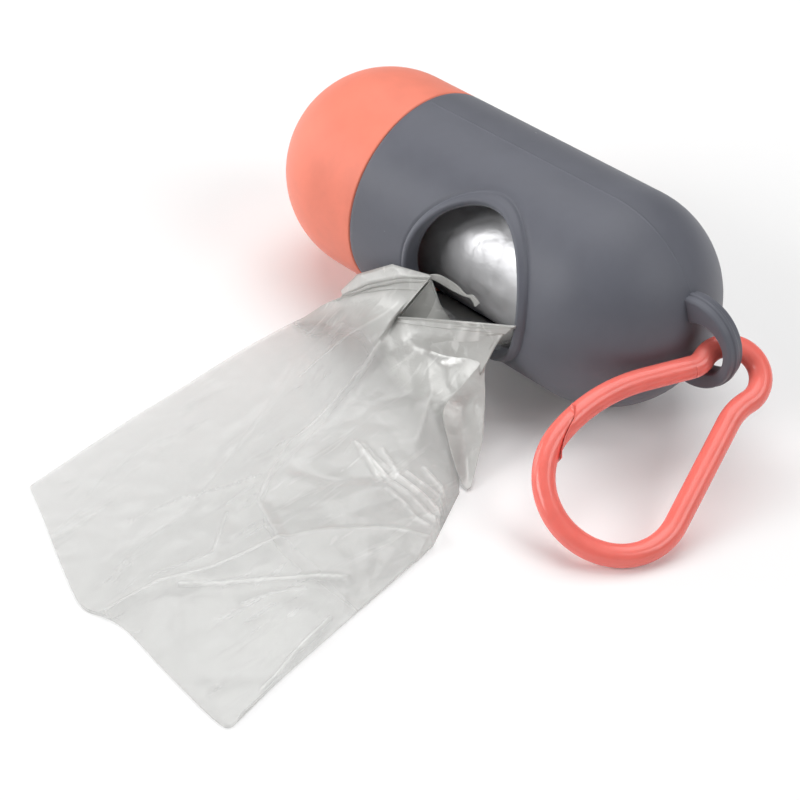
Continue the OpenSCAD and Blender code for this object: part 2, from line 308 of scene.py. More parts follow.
def thin_polythene(name, colour):
    """A skin of blown polythene film, IOR 1.51: hazy and slick, with painted highlights as whiter
    colour along its creases.
    """
    mat, tree, out = new_material(name)
    where = object_coordinates(tree)
    cover = add_node(tree, "ShaderNodeAttribute", {"attribute_name": "cover"})
    crease = add_node(tree, "ShaderNodeAttribute", {"attribute_name": "crease"})
    # Stretch marks: short streaks, some 2 mm wide and 15 mm long, where the film was pulled.
    stretched = add_node(tree, "ShaderNodeMapping",
                         values={"Vector": where, "Rotation": (0.0, 0.0, 0.45),
                                 "Scale": (1.0, 0.16, 1.0)})
    streaks = noise_node(tree, stretched.outputs[0], 420.0, 3.0, Distortion=0.6)
    streak = ranged(tree, streaks.outputs["Fac"], 0.56, 0.72, 0.0, 0.4)
    patches = noise_node(tree, where, 60.0, 2.0).outputs["Fac"]
    marks = sum_node(tree, "MULTIPLY", streak, ranged(tree, patches, 0.45, 0.65, 0.0, 1.0))
    # The crease attribute is painted highlight along the folds and painted light under the
    # shoulder; it whitens the colour and thickens the film.
    white = sum_node(tree, "ADD", marks, crease.outputs["Fac"], clamp=True)
    solid = sum_node(tree, "MULTIPLY_ADD", white, 0.4, cover.outputs["Fac"], clamp=True)
    surface(tree, out, {"Base Color": blended_colour(tree, white, colour, srgb("#f6f6f4")),
                        "Roughness": 0.3, "IOR": 1.51, "Specular IOR Level": 0.6,
                        "Metallic": 0.1, "Alpha": solid,
                        "Normal": bumped(tree, 0.5, 0.0007, crinkles(tree, where))})
    return mat


def greyboard(name):
    """Wound grey board: matte and fibrous."""
    mat, tree, out = new_material(name)
    fibre = noise_node(tree, object_coordinates(tree), 1600.0, 5.0).outputs["Fac"]
    tone = blended_colour(tree, fibre, srgb("#a3937a"), srgb("#c9bca4"))
    surface(tree, out, {"Base Color": tone, "Roughness": 0.85,
                        "Normal": bumped(tree, 0.4, 0.0001, fibre)})
    return mat


# ---- Capsule ----
STRAIGHT = 48.0
WALL = 2.4
INNER_R = BODY_R - WALL
WINDOW_X, WINDOW_Z, WINDOW_R = 30.6, 2.4, 14.0
CAP_STRAIGHT = 10.5
PLUG_R, PLUG_BORE_R, PLUG_LENGTH = 18.55, 16.8, 8.0
SEAM_EDGE = 0.5


def dome_points(radius, start, count):
    """(x, radius) from the end of the straight stretch to the dome's tip."""
    return [(start + radius * math.sin(a), radius * math.cos(a))
            for a in np.linspace(0, math.pi / 2, count)]


def shell_radius(x, radius):
    """Radius of the body at x, for its outer or inner skin."""
    return radius if x <= STRAIGHT else math.sqrt(max(radius ** 2 - (x - STRAIGHT) ** 2, 0.0))


class Shell:
    """Collects the points and faces of the capsule body's skins."""

    def __init__(self, rim_width, rim_height):
        self.points, self.faces = [], []
        self.rim_width, self.rim_height = rim_width, rim_height
        self.angles = self.column_angles()

    @staticmethod
    def column_angles():
        """Columns round the body, closer together at the parting line on top."""
        low, high = math.radians(-60), math.radians(80)
        front = list(np.linspace(low, high, 61))
        top = [math.radians(90) + d for d in (-0.02, -0.008, 0.0, 0.008, 0.02)]
        back = list(np.linspace(math.radians(96), math.radians(300), 56))[:-1]
        return [*front, math.radians(86), *top, *back]

    def put(self, x, angle, radius):
        self.points.append((x, -radius * math.cos(angle), radius * math.sin(angle)))
        return len(self.points) - 1

    def skin(self, radius, outer):
        """One skin with its window, returns the mouth's row and the window's row."""
        low_x, high_x = 12.0, 48.0
        first = [0.06, 0.2, SEAM_EDGE] if outer else [0.5]
        xs = [0.0, *first] + list(np.linspace(1.2, low_x, 9))
        xs += list(np.linspace(low_x, high_x, 34))[1:]
        xs += [STRAIGHT + radius * math.sin(a) for a in np.linspace(0, math.pi / 2, 30)][1:-1]
        i0, i1 = xs.index(low_x), xs.index(high_x)
        j0, j1 = 0, 60
        grid = []
        for x in xs:
            r = shell_radius(x, radius)
            if outer and x < SEAM_EDGE:
                r -= SEAM_EDGE - math.sqrt(SEAM_EDGE ** 2 - (SEAM_EDGE - x) ** 2)
            row = []
            for angle in self.angles:
                ridge = 0.11 if outer and abs(angle - math.pi / 2) < 0.004 and x > 0.4 else 0.0
                row.append(self.put(x, angle, r + ridge))
            grid.append(row)
        n = len(self.angles)
        for i in range(len(xs) - 1):
            for j in range(n):
                if i0 <= i < i1 and j0 <= j < j1:
                    continue
                k = (j + 1) % n
                quad = (grid[i][j], grid[i][k], grid[i + 1][k], grid[i + 1][j])
                self.faces.append(quad if not outer else quad[::-1])
        tip = self.put(STRAIGHT + radius, 0.0, 0.0)
        for j in range(n):
            k = (j + 1) % n
            tri = (grid[-1][j], grid[-1][k], tip)
            self.faces.append(tri if not outer else tri[::-1])
        # The border of the window's patch, anticlockwise seen from the front.
        border = ([(i, j0) for i in range(i0, i1)] + [(i1, j) for j in range(j0, j1)]
                  + [(i, j1) for i in range(i1, i0, -1)] + [(i0, j) for j in range(j1, j0, -1)])
        ring = [grid[i][j] for i, j in border]
        spots = [(xs[i], self.angles[j]) for i, j in border]
        return grid[0], self.window(radius, outer, ring, spots)

    def window(self, radius, outer, ring, spots):
        """Fills between the patch's border and the window's edge; returns the edge's row."""
        middle = math.asin(WINDOW_Z / radius)
        turns = [math.atan2(radius * (a - middle), x - WINDOW_X) for x, a in spots]
        rim = WINDOW_R + self.rim_width
        h = self.rim_height
        between = [(1.0, share, 0.0) for share in np.linspace(1, 0.03, 22)[1:]]
        if outer:
            steps = [*between, (rim + 0.5, 0.0, 0.0), (rim + 0.3, 0.0, -0.12 * h),
                     (rim + 0.12, 0.0, -0.12 * h), (rim - 0.02, 0.0, 0.12 * h),
                     (rim - 0.16, 0.0, 0.4 * h), (rim - 0.4, 0.0, 0.64 * h),
                     (rim - 0.8, 0.0, 0.86 * h), (WINDOW_R + 0.75, 0.0, 0.98 * h),
                     (WINDOW_R + 0.45, 0.0, 1.0 * h), (WINDOW_R + 0.2, 0.0, 0.9 * h),
                     (WINDOW_R + 0.06, 0.0, 0.66 * h), (WINDOW_R, 0.0, 0.3 * h),
                     (WINDOW_R, 0.0, -0.4 * h)]
        else:
            steps = [*between, (WINDOW_R + 0.5, 0.0, 0.0),
                     (WINDOW_R + 0.15, 0.0, 0.0), (WINDOW_R, 0.0, 0.12)]
        near = rim + 0.9 if outer else WINDOW_R + 1.2
        last = ring
        for rho, mixed, lift in steps:
            row = []
            for (x, a), t in zip(spots, turns):
                r = near if mixed else rho
                px, pz = WINDOW_X + r * math.cos(t), WINDOW_Z + r * math.sin(t)
                pa = math.asin(max(-1.0, min(1.0, pz / radius)))
                px, pa = px + (x - px) * mixed, pa + (a - pa) * mixed
                row.append(self.put(px, pa, shell_radius(px, radius) + lift))
            self.faces += strip_faces(last, row, flip=outer)
            last = row
        return last

    def bridge(self, outer_row, inner_row, count, flip):
        """Joins two rows of points by straight rows of faces."""
        a = [np.array(self.points[i]) for i in outer_row]
        b = [np.array(self.points[i]) for i in inner_row]
        last = outer_row
        for step in range(1, count):
            row = []
            for p, q in zip(a, b):
                self.points.append(tuple(p + (q - p) * step / count))
                row.append(len(self.points) - 1)
            self.faces += strip_faces(last, row, flip=flip)
            last = row
        self.faces += strip_faces(last, inner_row, flip=flip)


def capsule_body(settings, material):
    shell = Shell(settings.bead_width / MM, settings.bead_height / MM)
    mouth, edge = shell.skin(BODY_R, True)
    inner_mouth, inner_edge = shell.skin(INNER_R, False)
    shell.bridge(edge, inner_edge, 4, True)
    shell.bridge(mouth, inner_mouth, 3, False)
    body = new_piece("capsule_body", shell.points, shell.faces, material, "shell")
    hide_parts("body_shell")


def lug(material):
    """The hanging lug: a disc with rounded lips, a parting ridge and an off-centre hole."""
    tip, rise = STRAIGHT + BODY_R, 0.8
    half, outer_r, hole_r, hole_x = 1.9, 9.0, 5.0, tip + 2.2
    lip = 0.55
    side = [(-half + lip - lip * math.cos(a), -lip * (1 - math.sin(a)))
            for a in np.linspace(0, math.pi / 2, 5)]
    rim = side + [(-0.62, 0.0), (-0.5, 0.05), (-0.42, 0.24), (-0.3, 0.3), (0.3, 0.3),
                  (0.42, 0.24), (0.5, 0.05), (0.62, 0.0)]
    rim += [(-y, d) for y, d in reversed(side)]
    soft = 0.35
    inner = [(half, soft), (half - 0.1, 0.1), (half - soft, 0.0), (0.0, -0.05),
             (-half + soft, 0.0), (-half + 0.1, 0.1), (-half, soft)]
    steps = 96
    points, rows = [], []
    centre = np.array([STRAIGHT, 0.0, 0.0])
    buried = BODY_R - 0.9
    for k in range(steps):
        a = 2 * math.pi * k / steps
        c, s = math.cos(a), math.sin(a)
        loop = [(tip + (outer_r + d) * c, y, rise + (outer_r + d) * s) for y, d in rim]
        loop += [(hole_x + (hole_r + d) * c, y, rise + (hole_r + d) * s) for y, d in inner]
        row = []
        for p in loop:
            v = np.array(p) - centre
            far = np.linalg.norm(v)
            if far < buried:
                p = tuple(centre + v * buried / far)
            row.append(len(points))
            points.append(p)
        rows.append(row)
    faces = []
    for k in range(steps):
        faces += strip_faces(rows[k], rows[(k + 1) % steps], flip=True)
    piece = new_piece("hanging_lug", points, faces, material, "shell")


def end_cap(settings, material):
    """The plug-in cap: one turned profile from the dome's outside to its plug and inside."""
    outer = [(-x, r) for x, r in reversed(dome_points(BODY_R, CAP_STRAIGHT, 40))]
    outer += [(-x, BODY_R) for x in np.linspace(CAP_STRAIGHT, SEAM_EDGE, 8)[1:]]
    outer += [(-SEAM_EDGE + SEAM_EDGE * math.sin(a), BODY_R - SEAM_EDGE * (1 - math.cos(a)))
              for a in np.linspace(0.2, math.pi / 2, 6)]
    plug = [(0.0, PLUG_R + 0.25), (0.12, PLUG_R + 0.04), (0.4, PLUG_R)]
    plug += [(x, PLUG_R) for x in np.linspace(1.2, PLUG_LENGTH - 0.5, 6)]
    plug += [(PLUG_LENGTH - 0.1, PLUG_R - 0.12), (PLUG_LENGTH, PLUG_R - 0.4),
             (PLUG_LENGTH, PLUG_BORE_R + 0.3), (PLUG_LENGTH - 0.15, PLUG_BORE_R)]
    inside = []
    for x in (PLUG_LENGTH - 1.1, 1.4):
        inside += [(x + 0.5, PLUG_BORE_R), (x + 0.3, PLUG_BORE_R - 0.34),
                   (x, PLUG_BORE_R - 0.4), (x - 0.3, PLUG_BORE_R - 0.34),
                   (x - 0.5, PLUG_BORE_R)]
    inside += [(0.0, PLUG_BORE_R), (-5.0, PLUG_BORE_R)]
    inside += [(-x, r) for x, r in dome_points(PLUG_BORE_R, CAP_STRAIGHT, 24)]
    points, faces = lathe(outer + plug + inside, 144)
    cap = new_piece("cap_moulding", points, [f[::-1] for f in faces], material, "cap")
    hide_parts("end_cap")


# ---- Roll ----
ROLL_R, ROLL_Z, ROLL_LENGTH, CORE_R = 14.3, -1.8, 57.0, 8.0
ROLL_END = STRAIGHT + math.sqrt(INNER_R ** 2 - (-ROLL_Z + ROLL_R + 0.3) ** 2)
ROLL_START = ROLL_END - ROLL_LENGTH


def wound_film(material):
    """The roll: wound film whose outer turn is creased and whose ends show the turns."""
    steps = 180
    radii = np.linspace(CORE_R, ROLL_R, 14)
    end = []
    for i, r in enumerate(radii[:-1]):
        step = radii[i + 1] - r
        end += [(0.0, r + 0.02 * step), (0.28, r + 0.5 * step)]
    end += [(0.25, ROLL_R - 0.12)]
    xs = np.linspace(0.6, ROLL_LENGTH - 0.6, 110)
    body = [(x, ROLL_R) for x in xs]
    back = [(ROLL_LENGTH - x, r) for x, r in reversed(end)]
    bore = [(x, CORE_R) for x in np.linspace(ROLL_LENGTH, 0.0, 5)][1:-1]
    profile = end + body + back + bore + [end[0]]
    points, faces = lathe(profile[:-1], steps)
    points = np.array(points)
    rows = len(profile) - 1
    faces += strip_faces(list(range((rows - 1) * steps, rows * steps)), list(range(steps)),
                         flip=True)
    r = np.hypot(points[:, 1], points[:, 2])
    angle = np.arctan2(points[:, 2], -points[:, 1])
    for i, (x, _, _) in enumerate(points):
        if r[i] > ROLL_R - 0.2 and 0.5 < x < ROLL_LENGTH - 0.5:
            at = Vector((x * 0.07, angle[i] * 1.3, 3.1))
            fold = noise.fractal(at, 0.9, 2.3, 4)
            crease = 1 - abs(noise.noise(Vector((x * 0.16, angle[i] * 2.2, 9.0)))) * 2.2
            drop = 0.16 + 0.13 * fold + 0.13 * max(crease, 0.0) ** 3
            scale = (ROLL_R - 0.02 - min(max(drop, 0.0), 0.45)) / r[i]
            points[i, 1:] *= scale
    points[:, 2] += ROLL_Z
    points[:, 0] += ROLL_START
    roll = new_piece("wound_film", points, faces, material, "roll")
    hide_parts("roll_film")


# ---- Clip ----
HANG = np.array([STRAIGHT + BODY_R + 4.5, 0.0, -0.5])
CLIP_TURN, CLIP_TILT = math.radians(62), math.radians(35)
ACROSS = np.array([math.cos(CLIP_TURN), math.sin(CLIP_TURN), 0.0])
UP_SLOPE = np.array([-math.sin(CLIP_TURN) * math.cos(CLIP_TILT),
                     math.cos(CLIP_TURN) * math.cos(CLIP_TILT), math.sin(CLIP_TILT)])
FACING = np.cross(ACROSS, UP_SLOPE)
ROOT = (-4.9, -1.2, 4.0)
EYE_RUNS = [(4.0, 41.0), (5.6, -206.0), (11.0, 29.0)]
BEND_RUNS = [(11.5, -55.0), (13.0, -134.0), (32.0, -35.0)]


def run_end(pose, run, share=1.0):
    """Where a bend (radius, degrees) or a straight (0, length) ends, from its pose."""
    x, y, heading = pose
    h = math.radians(heading)
    if run[0] == 0:
        return (x + run[1] * share * math.cos(h), y + run[1] * share * math.sin(h), heading)
    side = math.copysign(1, run[1])
    b = heading + run[1] * share
    hb = math.radians(b)
    return (x + side * run[0] * (math.sin(hb) - math.sin(h)),
            y - side * run[0] * (math.cos(hb) - math.cos(h)), b)


def clip_route():
    """The rod's runs, with the two straights that close the loop."""
    pose = ROOT
    for run in EYE_RUNS:
        pose = run_end(pose, run)
    arm = math.radians(pose[2])
    for run in BEND_RUNS:
        pose = run_end(pose, run)
    gap = (ROOT[0] - pose[0], ROOT[1] - pose[1])
    h = math.radians(ROOT[2])
    d = math.cos(arm) * math.sin(h) - math.sin(arm) * math.cos(h)
    arm_length = (gap[0] * math.sin(h) - gap[1] * math.cos(h)) / d
    gate_length = (gap[1] * math.cos(arm) - gap[0] * math.sin(arm)) / d
    return [*EYE_RUNS, (0, arm_length), *BEND_RUNS, (0, gate_length)]


def route_samples(runs, step=0.4):
    """Poses along the route with their distance from the root."""
    out, pose, gone = [], ROOT, 0.0
    for run in runs:
        size = run[1] if run[0] == 0 else run[0] * math.radians(abs(run[1]))
        count = max(2, int(round(size / step)))
        out += [(*run_end(pose, run, i / count), gone + size * i / count)
                for i in range(count)]
        pose, gone = run_end(pose, run), gone + size
    out.append((*pose, gone))
    return np.array(out)


def rod_tree():
    """Geometry nodes: a path becomes a rod of round section."""
    tree = bpy.data.node_groups.new("Rod along a path", "GeometryNodeTree")
    for label, way, kind in (("Geometry", "INPUT", "Geometry"), ("Diameter", "INPUT", "Float"),
                             ("Sides", "INPUT", "Int"), ("Material", "INPUT", "Material"),
                             ("Geometry", "OUTPUT", "Geometry")):
        tree.interface.new_socket(label, in_out=way, socket_type="NodeSocket" + kind)
    given = add_node(tree, "NodeGroupInput")
    radius = sum_node(tree, "MULTIPLY", given.outputs["Diameter"], 0.5)
    path = add_node(tree, "GeometryNodeMeshToCurve", values={0: given.outputs["Geometry"]})
    ring = add_node(tree, "GeometryNodeCurvePrimitiveCircle",
                    values={"Resolution": given.outputs["Sides"],
                            "Radius": radius})
    rod = add_node(tree, "GeometryNodeCurveToMesh",
                   values={"Curve": path.outputs[0], "Profile Curve": ring.outputs[0],
                           "Fill Caps": True})
    whole = add_node(tree, "GeometryNodeRealizeInstances", values={0: rod.outputs[0]})
    smooth = add_node(tree, "GeometryNodeSetShadeSmooth", values={0: whole.outputs[0]})
    coated = add_node(tree, "GeometryNodeSetMaterial",
                      values={"Geometry": smooth.outputs[0],
                              "Material": given.outputs["Material"]})
    done = add_node(tree, "NodeGroupOutput")
    tree.links.new(coated.outputs[0], done.inputs[0])
    return tree


def plain_copy(obj, name):
    """The evaluated result of obj's modifiers as a new plain mesh object."""
    graph = bpy.context.evaluated_depsgraph_get()
    mesh = bpy.data.meshes.new_from_object(obj.evaluated_get(graph))
    mesh.name = name
    bpy.data.objects.remove(obj)
    out = bpy.data.objects.new(name, mesh)
    bpy.context.scene.collection.objects.link(out)
    return out


def rod_piece(name, samples, settings, material, tree):
    """A rod along in-plane samples of the clip, made by the rod tree."""
    path = HANG + samples[:, :1] * ACROSS + samples[:, 1:2] * UP_SLOPE
    mesh = bpy.data.meshes.new(name + "_path")
    mesh.from_pydata(place(path).tolist(), [(i, i + 1) for i in range(len(path) - 1)], [])
    obj = bpy.data.objects.new(name + "_path", mesh)
    bpy.context.scene.collection.objects.link(obj)
    modifier = obj.modifiers.new("Rod", "NODES")
    modifier.node_group = tree
    given = {item.name: item.identifier for item in tree.interface.items_tree
             if item.in_out == "INPUT"}
    modifier[given["Diameter"]] = settings.rod
    modifier[given["Sides"]] = settings.sides
    modifier[given["Material"]] = material
    return plain_copy(obj, name)


# The scarf in the rod's own terms: (distance past the loop's end, offset outwards).
SCARF = [(-4.6, -2.3), (0.0, -0.95), (3.7, 0.0), (4.7, 0.9), (5.3, 2.3)]
SCARF_GAP = 0.08
SCARF_REACH = 11.0  # how far from the joint the rods are cut
FRAME_PAST, GATE_BEFORE = 5.2, 4.5  # how far each rod runs on over the joint
ROD_NEAR = 2.4  # points closer to the path than this belong to the rod beside it


def cut_scarf(obj, samples, joint_at, keep_outer):
    """Flattens the rod onto the scarf's slope, on the frame's or the gate's side."""
    count = len(obj.data.vertices)
    co = np.zeros(count * 3)
    obj.data.vertices.foreach_get("co", co)
    rel = (co.reshape(-1, 3) - SEAM) / MM - HANG
    flat = np.stack([rel @ ACROSS, rel @ UP_SLOPE], 1)
    lift = rel @ FACING
    near = np.abs(samples[:, 3] - joint_at) < SCARF_REACH
    part = samples[near]
    gap = np.linalg.norm(flat[:, None, :] - part[None, :, :2], axis=2)
    pick = gap.argmin(1)
    close = gap.min(1) < ROD_NEAR
    heading = np.radians(part[pick, 2])
    out_dir = np.stack([-np.sin(heading), np.cos(heading)], 1)
    side = ((flat - part[pick, :2]) * out_dir).sum(1)
    along = part[pick, 3] - joint_at
    line = np.interp(along, [p[0] for p in SCARF], [p[1] for p in SCARF])
    if keep_outer:
        wanted = np.maximum(side, line)
    else:
        wanted = np.minimum(side, line - SCARF_GAP)
    wanted = np.where(close, wanted, side)
    flat = flat + (wanted - side)[:, None] * out_dir
    new = HANG + flat[:, :1] * ACROSS + flat[:, 1:] * UP_SLOPE + lift[:, None] * FACING
    obj.data.vertices.foreach_set("co", place(new).ravel())
    obj.data.update()


def clip(settings, material):
    runs = clip_route()
    samples = route_samples(runs)
    sizes = [r[1] if r[0] == 0 else r[0] * math.radians(abs(r[1])) for r in runs]
    joint_at = sum(sizes[:6])
    total = sum(sizes)
    tree = rod_tree()
    for name, node, low, high, outer in (
            ("clip_frame_rod", "clip_frame", 0.0, joint_at + FRAME_PAST, True),
            ("clip_gate_rod", "clip_gate", joint_at - GATE_BEFORE, total, False)):
        part = samples[(samples[:, 3] >= low) & (samples[:, 3] <= high)]
        piece = rod_piece(name, part, settings, material, tree)
        cut_scarf(piece, samples, joint_at, outer)
        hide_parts(node)
        if outer:
            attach(piece, "clip")
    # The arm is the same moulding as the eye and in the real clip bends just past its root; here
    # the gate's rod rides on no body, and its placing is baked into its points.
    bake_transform(piece)


# ---- Pulled-out bag ----
FLOOR = -BODY_R
# Each row runs from the bag's left edge to its right fold. The rows go from the roll through
# the window, over the rolled lip and down the drape to the bag's far end. From left to right
# the columns follow the edge, a double fold, the shoulder's two sides of its fold, the corner
# under it, the middle and the right fold.
FILM_ROWS = [
    [(19.0, -12.4, -9.5), (21.0, -12.4, -9.5), (24.0, -12.4, -9.6), (28.0, -12.5, -9.7),
     (32.0, -12.5, -9.7), (36.0, -12.5, -9.7), (40.5, -12.4, -9.5)],
    [(19.0, -20.6, -3.0), (20.5, -20.4, -4.4), (22.6, -20.4, -4.9), (25.6, -20.9, -4.8),
     (30.0, -18.4, -10.0), (36.0, -18.6, -9.2), (41.8, -19.6, -4.2)],
    [(0.0, -23.4, -12.2), (4.8, -23.2, -6.0), (14.2, -23.0, 0.9), (24.1, -22.7, 3.3),
     (18.9, -26.0, -7.2), (33.2, -25.2, -1.0), (45.8, -22.5, 3.1)],
    [(2.0, -25.0, -11.5), (10.1, -24.9, -4.6), (18.4, -24.4, 0.7), (25.0, -23.4, 3.6),
     (19.4, -26.7, -6.8), (33.7, -25.7, -0.7), (45.9, -22.9, 3.1)],
    [(1.3, -24.6, -12.6), (9.1, -24.0, -6.3), (17.1, -23.5, -1.0), (24.0, -22.9, 2.2),
     (18.9, -26.5, -7.6), (33.3, -25.6, -1.6), (45.0, -23.0, 2.2)],
    [(-4.4, -24.6, -17.5), (4.6, -25.3, -11.5), (13.9, -25.7, -6.2), (19.9, -25.3, -4.0),
     (18.9, -27.6, -8.5), (32.1, -26.4, -4.6), (42.5, -23.6, -1.3)],
    [(-6.9, -28.4, -20.3), (3.1, -29.7, -14.6), (12.8, -30.7, -9.4), (19.2, -30.4, -8.0),
     (20.2, -31.4, -9.5), (28.9, -27.4, -9.5), (40.5, -25.0, -5.8)],
    [(-7.4, -38.0, -20.8), (1.5, -36.5, -18.0), (12.0, -38.5, -12.9), (20.1, -37.8, -11.6),
     (21.8, -38.1, -12.4), (30.4, -33.4, -12.0), (38.9, -29.0, -10.5)],
    [(-7.1, -47.9, -20.8), (3.1, -45.4, -19.6), (13.1, -46.9, -16.0), (22.3, -46.6, -14.0),
     (25.6, -47.1, -14.2), (33.1, -40.7, -13.4), (38.7, -33.6, -13.0)],
    [(-6.2, -59.6, -20.8), (7.9, -59.4, -20.0), (16.3, -58.2, -17.6), (25.6, -57.0, -15.6),
     (30.6, -56.6, -15.6), (39.8, -50.5, -15.0), (45.4, -38.9, -18.0)],
    [(-5.4, -72.2, -20.8), (10.9, -73.3, -20.2), (20.6, -71.3, -18.2), (29.9, -69.8, -16.6),
     (37.1, -67.2, -16.4), (45.6, -60.3, -16.4), (51.9, -47.4, -19.2)],
    [(-4.4, -83.6, -20.8), (17.2, -92.2, -20.2), (26.0, -89.7, -18.8), (34.8, -84.6, -17.4),
     (41.3, -77.7, -16.4), (46.9, -68.9, -16.2), (57.9, -55.5, -19.6)],
    [(-3.0, -96.7, -20.8), (23.8, -104.1, -20.3), (32.6, -104.3, -19.6), (36.8, -97.2, -18.2),
     (44.7, -90.0, -18.0), (54.0, -77.7, -18.2), (59.1, -60.0, -20.8)],
    [(4.0, -99.3, -20.8), (26.4, -107.9, -20.6), (32.9, -106.8, -20.2), (41.5, -104.2, -19.8),
     (53.3, -100.0, -19.4), (60.5, -90.2, -19.4), (61.1, -76.4, -20.8)],
    [(13.5, -103.1, -20.8), (27.0, -108.0, -20.8), (32.8, -106.7, -20.8),
     (38.5, -106.2, -20.8), (52.4, -107.6, -20.7), (65.3, -108.1, -20.8),
     (64.9, -104.0, -20.8)],
]
LIP_ROWS = 4  # rows before this one meet in sharp folds
FLOOR_GAP = 0.45  # lowest height of the upper layer above the floor
FLAP_COVER, STRIP_COVER = 0.55, 0.85
# Right edge of the lower layer, where it shows beside the upper one: row, point.
LOWER_EDGE = [
    (5.0, (42.3, -24.2, -3.2)), (6.0, (41.0, -26.4, -8.6)), (7.0, (41.5, -30.4, -14.5)),
    (8.0, (45.5, -36.0, -19.6)), (9.0, (51.5, -42.0, -20.9)), (10.0, (55.3, -49.5, -20.9)),
    (11.0, (58.2, -55.2, -20.8)), (12.0, (59.1, -60.0, -20.95)),
]

# Creases that show on the film: points in plan, height at the ridge and half width in mm, and
# how white the fold is painted, a painted highlight along its ridge.
CREASES = [
    ([(26.0, -107.6), (15.4, -84.1), (12.9, -70.3), (10.7, -53.3), (3.8, -38.4), (5.4, -28.8)],
     -1.0, 2.2, 0.0),
    ([(21.8, -99.2), (22.9, -82.1), (17.9, -69.5), (11.6, -56.2)], -0.8, 1.8, 0.1),
    ([(32.8, -106.6), (34.8, -97.3), (38.8, -88.8), (42.0, -75.8), (45.3, -70.5),
      (51.6, -61.6), (58.3, -55.8)], 1.5, 3.4, 0.3),
    ([(20.2, -31.9), (21.4, -39.2), (23.4, -47.6), (24.3, -58.3), (27.8, -65.6),
      (32.0, -72.5), (41.6, -76.2)], 0.9, 2.2, 0.2),
    ([(38.0, -94.9), (45.0, -85.4), (55.4, -73.3)], 0.8, 1.6, 0.5),
    ([(48.1, -89.6), (49.6, -85.0), (52.3, -79.8)], 0.5, 1.2, 0.35),
    ([(33.6, -50.8), (43.7, -52.5)], 0.6, 0.8, 0.9),
    ([(35.0, -50.2), (42.6, -51.2)], 0.4, 0.6, 0.5),
    ([(36.4, -51.7), (43.6, -53.8)], 0.5, 0.7, 0.8),
    ([(38.4, -48.6), (44.0, -50.2)], 0.4, 0.6, 0.5),
    ([(44.2, -50.8), (53.4, -48.6)], 0.6, 0.8, 0.9),
    ([(45.0, -48.5), (52.1, -46.6)], 0.5, 0.7, 0.8),
    ([(44.6, -52.6), (54.0, -50.6)], 0.5, 0.7, 0.7),
    ([(45.5, -44.8), (51.2, -44.9)], 0.5, 0.7, 0.7),
    ([(46.0, -54.4), (54.6, -53.0)], 0.4, 0.7, 0.6),
    ([(39.2, -105.6), (47.9, -105.1), (56.7, -104.0)], -0.6, 2.2, 0.0),
    ([(59.9, -80.9), (62.1, -91.6), (63.7, -99.0)], 0.5, 1.0, 0.5),
    ([(28.5, -28.0), (35.0, -32.7), (40.6, -42.1)], 0.8, 3.4, 0.1),
    ([(5.0, -62.0), (3.0, -76.0), (6.0, -92.0)], 0.5, 2.0, 0.15),
    ([(2.0, -50.0), (0.0, -64.0), (-1.0, -80.0)], -0.5, 2.0, 0.0),
    ([(31.0, -62.0), (38.0, -58.0), (43.7, -52.5)], -0.8, 3.0, 0.0),
    ([(41.6, -76.2), (48.0, -66.0), (53.4, -48.6)], -0.9, 3.2, 0.0),
    ([(18.2, -25.6), (13.0, -34.0), (11.0, -44.0)], 0.5, 1.6, 0.3),
    ([(30.0, -78.0), (36.0, -86.0), (33.0, -97.0)], 0.8, 2.2, 0.25),
    ([(32.4, -27.5), (38.3, -24.9)], 0.2, 0.6, 0.7),
    ([(38.8, -22.9), (38.3, -24.9)], 0.2, 0.6, 0.6),
    ([(32.4, -27.5), (38.8, -22.9)], 0.2, 0.6, 0.5),
    ([(27.0, -68.0), (20.0, -80.0), (17.0, -90.0)], 0.6, 2.0, 0.25),
]

# The gusset's flap, from the window down to its tip: left fold, middle, right edge.
FLAP_ROWS = [
    [(41.9, -23.9, -1.4), (41.3, -23.8, -2.4), (40.6, -23.8, -3.7)],
    [(40.1, -25.8, -7.2), (40.7, -25.6, -7.7), (41.0, -25.2, -8.1)],
    [(39.7, -30.0, -10.0), (41.5, -28.7, -10.4), (43.3, -27.4, -10.8)],
    [(39.9, -34.8, -12.6), (41.9, -31.3, -13.6), (45.6, -29.9, -13.4)],
    [(43.9, -37.4, -16.0), (45.4, -34.5, -16.8), (48.2, -33.0, -16.2)],
    [(48.3, -39.7, -18.6), (48.8, -37.4, -19.2), (50.1, -36.2, -18.4)],
    [(50.9, -40.7, -20.5), (52.2, -40.8, -20.6), (52.4, -40.0, -20.5)],
]
# The torn strip that curls from the shoulder into the window: upper and lower edge.
STRIP_ROWS = [
    [(24.6, -23.2, 3.8), (24.2, -22.8, 2.5)], [(25.8, -22.4, 4.1), (25.3, -21.8, 1.8)],
    [(27.0, -21.2, 3.2), (26.2, -20.6, 0.6)], [(29.1, -20.4, 2.2), (27.7, -19.8, -0.2)],
    [(31.0, -20.2, 1.2), (30.3, -20.0, 0.3)], [(33.0, -20.4, 2.1), (32.1, -20.0, 0.6)],
    [(34.6, -20.2, 1.1), (32.8, -19.6, -1.1)],
]


def catmull(points, t, sharp=0.0):
    """A point on the curve through the list, at t from 0; sharp 1 gives straight runs."""
    n = len(points)
    i = min(int(t), n - 2)
    f = t - i
    p0, p1 = points[max(i - 1, 0)], points[i]
    p2, p3 = points[i + 1], points[min(i + 2, n - 1)]
    soft = 0.5 * (2 * p1 + (p2 - p0) * f + (2 * p0 - 5 * p1 + 4 * p2 - p3) * f * f
                  + (3 * p1 - p0 - 3 * p2 + p3) * f ** 3)
    return soft * (1 - sharp) + (p1 + (p2 - p1) * f) * sharp


def net_grid(net, along, across, sharp_along, sharp_across):
    """Points [row, column] on a net, with how sharply it folds at each row."""
    net = np.asarray(net, float)
    out = []
    for t in along:
        line = catmull(net, t, sharp_along(t))
        out.append([catmull(line, s, sharp_across(t)) for s in across])
    return np.array(out)


